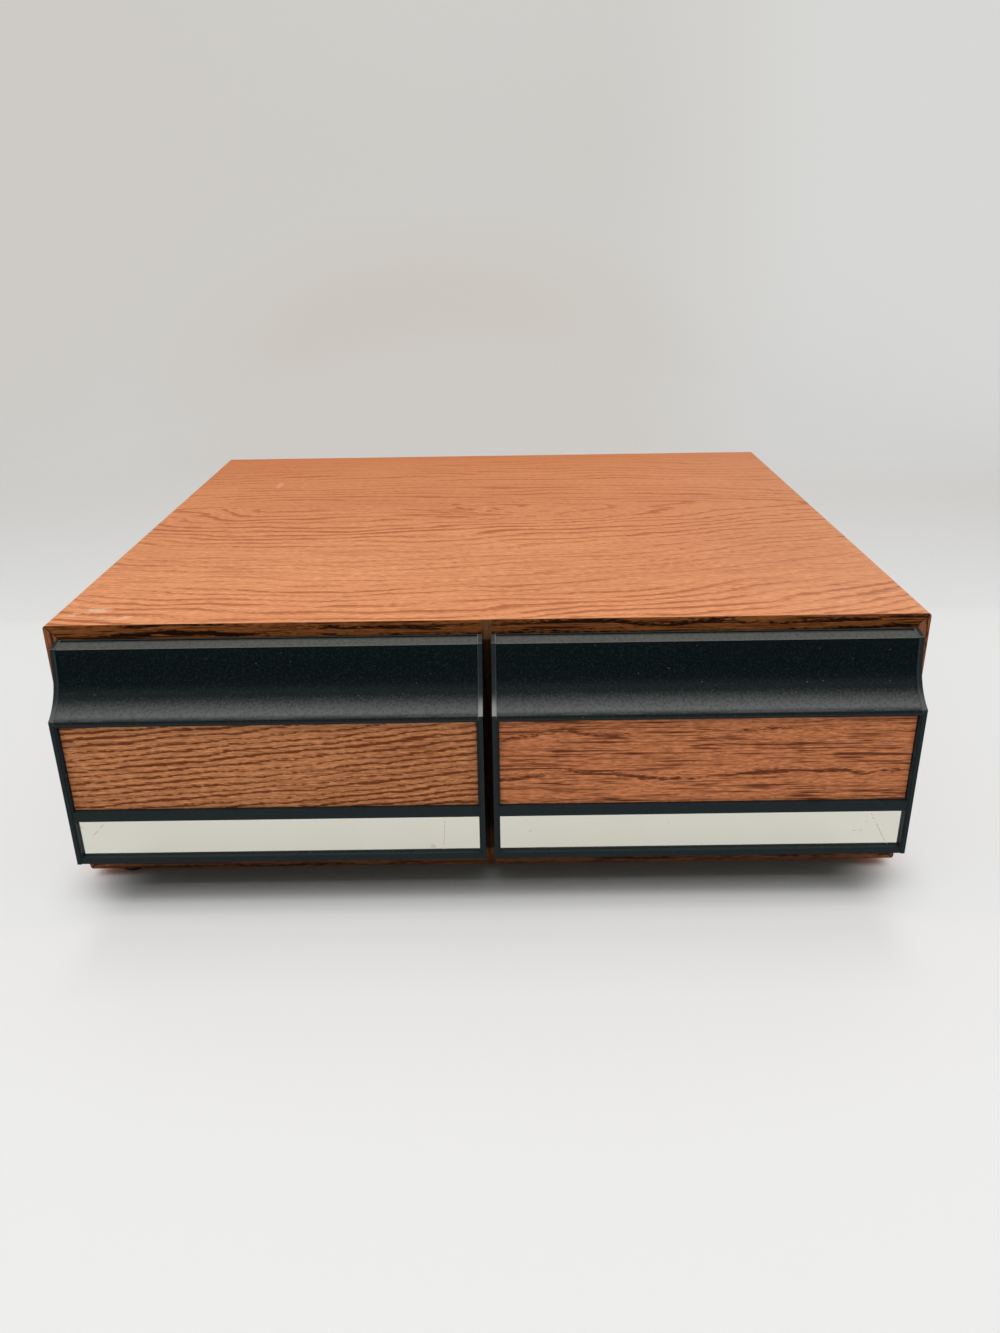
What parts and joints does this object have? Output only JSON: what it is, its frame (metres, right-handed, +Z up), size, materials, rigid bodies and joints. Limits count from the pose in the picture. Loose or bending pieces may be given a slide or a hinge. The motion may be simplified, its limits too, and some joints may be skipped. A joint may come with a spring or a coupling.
{
  "type": "video tape storage cabinet",
  "caption": "Low wood-grain cabinet with side-by-side sliding drawers for video cassettes, black moulded coved fronts with oak-look and silver inlays, on small rubber feet.",
  "frame": {"origin": "bottom centre of the whole box, on the floor under the feet", "axes": "+X to the viewer's right along the fronts, +Y from the fronts to the back, +Z up"},
  "size_m": [0.432, 0.4096, 0.145],
  "materials": {
    "oak_vinyl": "satin oak-look vinyl",
    "edge_vinyl": "satin dark oak-look band",
    "hardboard": "matte hardboard",
    "oak_inlay": "satin oak-look strip",
    "silver_foil": "mirror-bright silver",
    "front_plastic": "fine-textured charcoal black",
    "drawer_board": "satin oak-look vinyl",
    "divider_plastic": "satin black",
    "stop_plastic": "satin",
    "foot_rubber": "matte",
    "steel": "bright zinc"
  },
  "bodies": {
    "case": {"top_panel": "oak_vinyl", "bottom_panel": "oak_vinyl", "left_side_panel": "oak_vinyl", "right_side_panel": "oak_vinyl", "center_divider": "oak_vinyl", "back_panel": "hardboard", "top_left_edge_band": "edge_vinyl", "top_right_edge_band": "edge_vinyl", "bottom_left_edge_band": "edge_vinyl", "bottom_right_edge_band": "edge_vinyl", "left_edge_band": "edge_vinyl", "right_edge_band": "edge_vinyl", "divider_edge_band": "edge_vinyl", "back_staples": "steel", "front_left_foot": "foot_rubber", "front_right_foot": "foot_rubber", "rear_left_foot": "foot_rubber", "rear_right_foot": "foot_rubber", "foot_screws": "steel", "left_drawer_stop": "stop_plastic", "right_drawer_stop": "stop_plastic", "stop_screws": "steel"},
    "left_drawer": {"left_drawer_left_side": "drawer_board", "left_drawer_right_side": "drawer_board", "left_drawer_front_board": "drawer_board", "left_drawer_back_board": "drawer_board", "left_drawer_bottom": "hardboard", "left_tape_dividers": "divider_plastic", "left_front": "front_plastic", "left_wood_inlay": "oak_inlay", "left_mirror_strip": "silver_foil", "left_front_screws": "steel"},
    "right_drawer": {"right_drawer_left_side": "drawer_board", "right_drawer_right_side": "drawer_board", "right_drawer_front_board": "drawer_board", "right_drawer_back_board": "drawer_board", "right_drawer_bottom": "hardboard", "right_tape_dividers": "divider_plastic", "right_front": "front_plastic", "right_wood_inlay": "oak_inlay", "right_mirror_strip": "silver_foil", "right_front_screws": "steel"}
  },
  "joints": [
    {"name": "left_drawer_slide", "type": "slide", "parent": "case", "child": "left_drawer", "axis": [0, -1, 0], "range_m": [0, 0.299]},
    {"name": "right_drawer_slide", "type": "slide", "parent": "case", "child": "right_drawer", "axis": [0, -1, 0], "range_m": [0, 0.299]}
  ]
}
